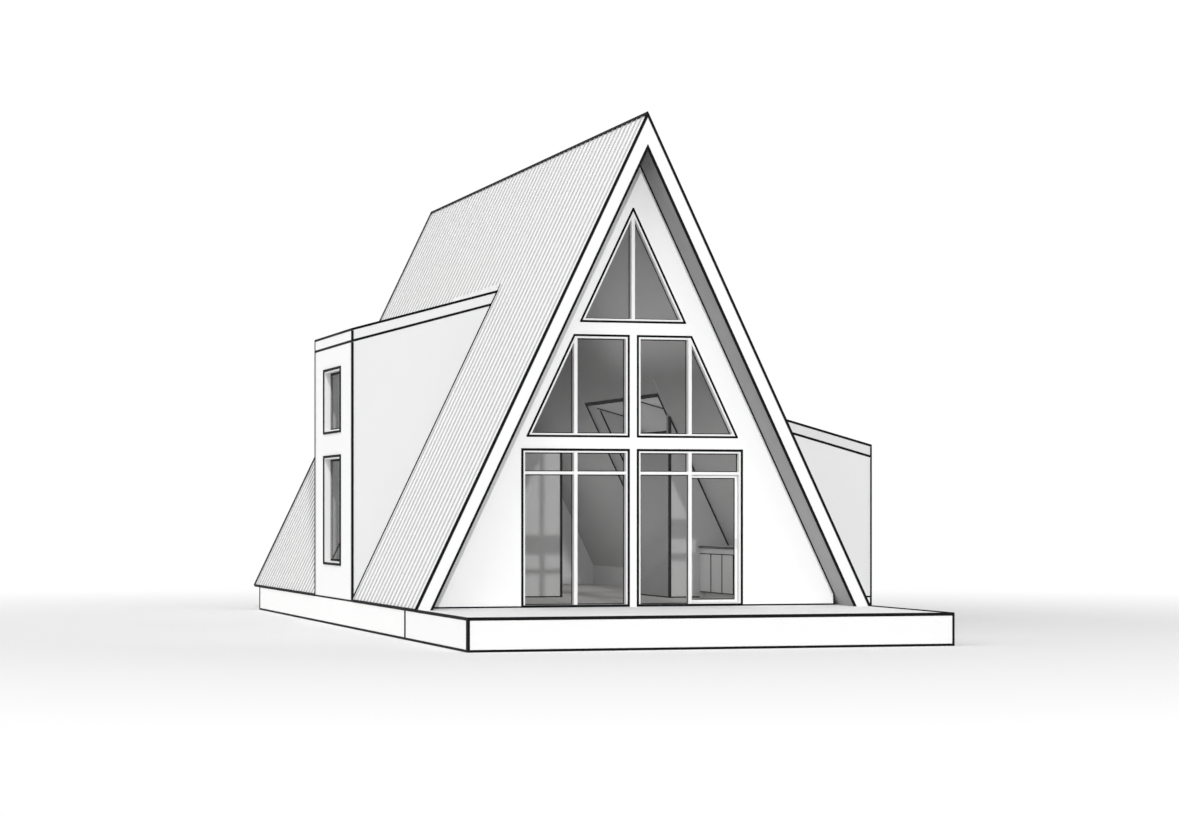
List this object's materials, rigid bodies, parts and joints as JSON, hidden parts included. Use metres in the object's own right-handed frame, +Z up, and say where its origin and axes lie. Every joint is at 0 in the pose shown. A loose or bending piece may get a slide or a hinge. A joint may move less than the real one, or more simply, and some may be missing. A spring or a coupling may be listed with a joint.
{
  "type": "a-frame cabin",
  "caption": "Steep a-frame cabin with a glazed front gable, a sliding patio door, a front deck, a two-storey shed wing on the left and a one-storey shed wing on the right.",
  "frame": {"origin": "on the ground below the middle of the front wall's outer face, on the underside of the house foundation", "axes": "+X to the right seen from the front, +Y from the front wall to the rear, +Z up"},
  "size_m": [9.5032, 19.003, 8.2865],
  "materials": {
    "foundation_render": "white rendered concrete",
    "floor_boards": "pale matt floor boards",
    "deck_paint": "white painted boards",
    "deck_grey": "light grey deck boards",
    "soffit_grey": "painted lining boards, light grey",
    "roof_sheet": "white coated sheet with standing seams",
    "white_trim": "white painted board",
    "wall_paint": "white painted smooth panel",
    "dark_trim": "matt black coated metal",
    "wing_roofing": "pale grey roofing membrane",
    "frame_paint": "white satin paint",
    "clear_glass": "neutral grey tinted double glazing",
    "unit_laminate": "light grey laminate",
    "worktop_stone": "honed pale grey"
  },
  "bodies": {
    "house": {"house_foundation": "foundation_render", "wing_foundation": "foundation_render", "floor_finish": "floor_boards", "deck_frame": "deck_paint", "deck_surface": "deck_grey", "left_roof_slope": "soffit_grey", "right_roof_slope": "soffit_grey", "left_roof_cladding": "roof_sheet", "right_roof_cladding": "roof_sheet", "front_left_rake_board": "white_trim", "front_right_rake_board": "white_trim", "rear_left_rake_board": "white_trim", "rear_right_rake_board": "white_trim", "left_wing_fascia": "white_trim", "right_wing_fascia": "white_trim", "front_wall_left": "wall_paint", "front_wall_right": "wall_paint", "front_wall_post": "wall_paint", "front_wall_band": "wall_paint", "front_wall_upper": "wall_paint", "rear_wall": "wall_paint", "knee_walls": "wall_paint", "left_wing_cheek_walls": "wall_paint", "left_wing_outer_wall": "wall_paint", "right_wing_cheek_walls": "wall_paint", "right_wing_outer_wall": "wall_paint", "room_partitions": "wall_paint", "ridge_flashing": "dark_trim", "left_wing_roof": "wing_roofing", "right_wing_roof": "wing_roofing", "gable_window_frame": "frame_paint", "upper_window_frames": "frame_paint", "lower_window_frame": "frame_paint", "door_frame": "frame_paint", "rear_window_frames": "frame_paint", "wing_window_frames": "frame_paint", "front_lower_glass": "clear_glass", "front_upper_glass": "clear_glass", "rear_glass": "clear_glass", "wing_glass": "clear_glass", "kitchen_units": "unit_laminate", "kitchen_doors": "unit_laminate", "kitchen_worktop": "worktop_stone"},
    "door_leaf": {"sliding_door": "frame_paint", "door_glass": "clear_glass"}
  },
  "joints": [
    {"name": "patio_door_slide", "type": "slide", "parent": "house", "child": "door_leaf", "axis": [-1, 0, 0], "range_m": [0, 0.79]}
  ]
}
